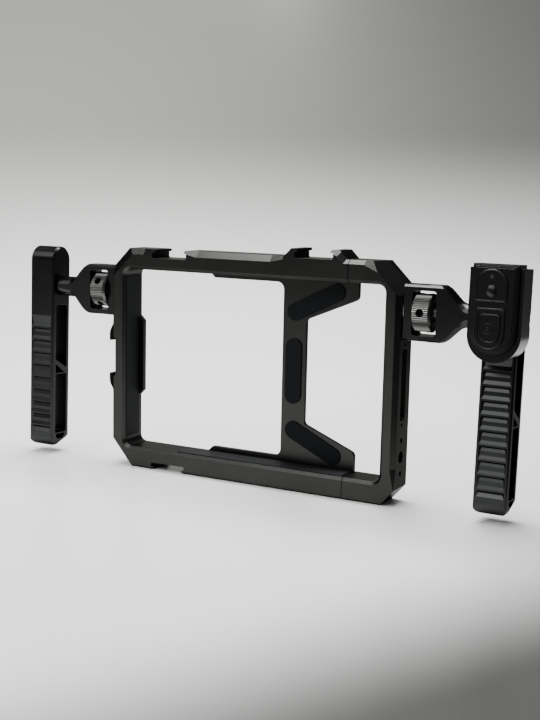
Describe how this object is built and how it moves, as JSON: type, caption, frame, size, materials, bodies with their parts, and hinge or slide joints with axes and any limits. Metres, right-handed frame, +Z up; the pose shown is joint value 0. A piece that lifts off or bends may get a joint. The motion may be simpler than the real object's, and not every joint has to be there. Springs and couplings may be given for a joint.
{
  "type": "phone camera cage",
  "caption": "Metal phone cage with a sliding end piece, four accessory shoes, two side arms with thumbwheels, ribbed grips and a slide-out remote.",
  "frame": {"origin": "middle of the lower rail's bottom face, where the cage stands", "axes": "+X to the right along the rails, +Y to the back, +Z up"},
  "size_m": [0.2535, 0.0265, 0.1083],
  "materials": {
    "anodised": "bead-blasted, anodised gunmetal",
    "rubber": "matt black",
    "steel": "plain",
    "satin_plastic": "satin dark grey",
    "board": "solder mask",
    "light": "frosted clear"
  },
  "bodies": {
    "frame": {"cage_frame": "anodised", "back_pad_upper": "rubber", "back_pad_middle": "rubber", "back_pad_lower": "rubber", "rail_strip": "rubber", "side_strip": "rubber", "rail_lock_screws": "steel", "left_arm": "anodised", "left_arm_washer": "steel", "left_arm_dowels": "steel", "left_stud": "steel"},
    "end": {"end_piece": "anodised", "guide_rod_upper": "steel", "guide_rod_lower": "steel", "right_arm": "anodised", "right_arm_washer": "steel", "right_arm_dowels": "steel", "right_stud": "steel"},
    "left_thumbwheel": {"left_wheel": "anodised"},
    "right_thumbwheel": {"right_wheel": "anodised"},
    "left_handle": {"left_grip": "anodised", "left_grip_bolt": "steel"},
    "right_handle": {"right_grip": "anodised", "right_grip_bolt": "steel", "remote_holder": "satin_plastic"},
    "remote": {"remote_back": "satin_plastic", "remote_front": "satin_plastic", "remote_board": "board", "remote_cell": "steel", "remote_light": "light"},
    "small_button": {"remote_small_button": "satin_plastic"},
    "thumb_button": {"remote_thumb_button": "satin_plastic"}
  },
  "joints": [
    {"name": "end_slide", "type": "slide", "parent": "frame", "child": "end", "axis": [1, 0, 0], "range_m": [0, 0.03]},
    {"name": "left_wheel_spin", "type": "hinge", "parent": "frame", "child": "left_thumbwheel", "pos_m": [-0.0825, 0, 0.0838], "axis": [1, 0, 0], "continuous": true},
    {"name": "right_wheel_spin", "type": "hinge", "parent": "end", "child": "right_thumbwheel", "pos_m": [0.0825, 0, 0.0838], "axis": [1, 0, 0], "continuous": true},
    {"name": "left_handle_swivel", "type": "hinge", "parent": "frame", "child": "left_handle", "pos_m": [-0.11665, 0, 0.0838], "axis": [1, 0, 0], "range_deg": [-90, 90]},
    {"name": "right_handle_swivel", "type": "hinge", "parent": "end", "child": "right_handle", "pos_m": [0.11665, 0, 0.0838], "axis": [1, 0, 0], "range_deg": [-90, 90]},
    {"name": "remote_slide", "type": "slide", "parent": "right_handle", "child": "remote", "axis": [0, 0.0419, 0.9991], "range_m": [0, 0.038]},
    {"name": "small_button_press", "type": "slide", "parent": "remote", "child": "small_button", "axis": [0, 0.9991, -0.0419], "range_m": [0, 0.0005], "stiffness_N_per_m": 600, "springref_m": -0.0002},
    {"name": "thumb_button_press", "type": "slide", "parent": "remote", "child": "thumb_button", "axis": [0, 0.9991, -0.0419], "range_m": [0, 0.0005], "stiffness_N_per_m": 600, "springref_m": -0.0002}
  ]
}
